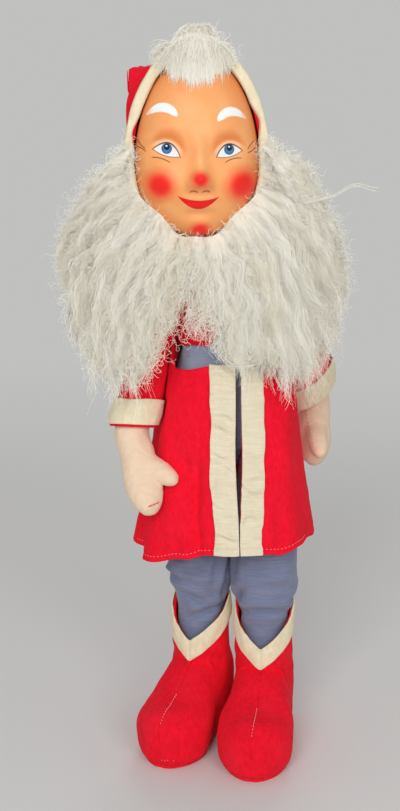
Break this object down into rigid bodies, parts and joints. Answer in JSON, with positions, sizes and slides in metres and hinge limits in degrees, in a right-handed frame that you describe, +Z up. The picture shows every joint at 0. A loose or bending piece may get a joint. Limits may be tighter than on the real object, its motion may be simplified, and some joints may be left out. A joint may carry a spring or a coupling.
{
  "type": "cloth gnome doll",
  "caption": "Standing stuffed gnome doll with a moulded face, wool beard, red hood, coat and boots; the head turns, the arms lift sideways and the legs swing.",
  "frame": {"origin": "bottom centre of the doll's box, on the floor under its boots", "axes": "+Z up, the doll faces -Y, +X to the viewer's right"},
  "size_m": [0.1794, 0.1328, 0.4583],
  "materials": {
    "red_felt": "matt wool felt",
    "red_cloth": "matt flannel",
    "cream_cotton": "matt brushed cotton",
    "blue_cotton": "matt plain weave",
    "skin_cotton": "matt plain weave",
    "face_plastic": "satin, painted",
    "wool": "loose curly wool",
    "stuffing": "loose wadding"
  },
  "bodies": {
    "torso": {"torso": "blue_cotton", "coat_front_left": "red_cloth", "coat_front_right": "red_cloth", "coat_back": "red_cloth", "front_band_left": "cream_cotton", "front_band_right": "cream_cotton", "collar": "red_cloth"},
    "head": {"head_stuffing": "stuffing", "face_mask": "face_plastic", "hood": "red_felt", "hood_band": "cream_cotton", "forelock": "wool", "beard": "wool"},
    "arm_left": {"arm_left": "skin_cotton", "sleeve_left": "red_cloth", "cuff_left": "cream_cotton"},
    "arm_right": {"arm_right": "skin_cotton", "sleeve_right": "red_cloth", "cuff_right": "cream_cotton"},
    "leg_left": {"leg_left": "blue_cotton", "foot_stuffing_left": "stuffing", "boot_left": "red_felt", "boot_cuff_left": "cream_cotton", "sole_left": "red_felt"},
    "leg_right": {"leg_right": "blue_cotton", "foot_stuffing_right": "stuffing", "boot_right": "red_felt", "boot_cuff_right": "cream_cotton", "sole_right": "red_felt"}
  },
  "joints": [
    {"name": "neck_turn", "type": "hinge", "parent": "torso", "child": "head", "pos_m": [0.00026, 0.01833, 0.3254], "axis": [0, 0, 1], "range_deg": [-20, 20], "deforming": ["beard"]},
    {"name": "shoulder_left", "type": "hinge", "parent": "torso", "child": "arm_left", "pos_m": [-0.02474, 0.00933, 0.2994], "axis": [0, 1, 0], "range_deg": [0, 70]},
    {"name": "shoulder_right", "type": "hinge", "parent": "torso", "child": "arm_right", "pos_m": [0.05326, 0.01733, 0.2994], "axis": [0, -1, 0], "range_deg": [0, 70]},
    {"name": "hip_left", "type": "hinge", "parent": "torso", "child": "leg_left", "pos_m": [-0.00289, 0.0184, 0.187], "axis": [-0.9613, 0.2756, 0], "range_deg": [-18, 22]},
    {"name": "hip_right", "type": "hinge", "parent": "torso", "child": "leg_right", "pos_m": [0.03941, 0.00627, 0.187], "axis": [-0.9613, 0.2756, 0], "range_deg": [-18, 22]}
  ]
}
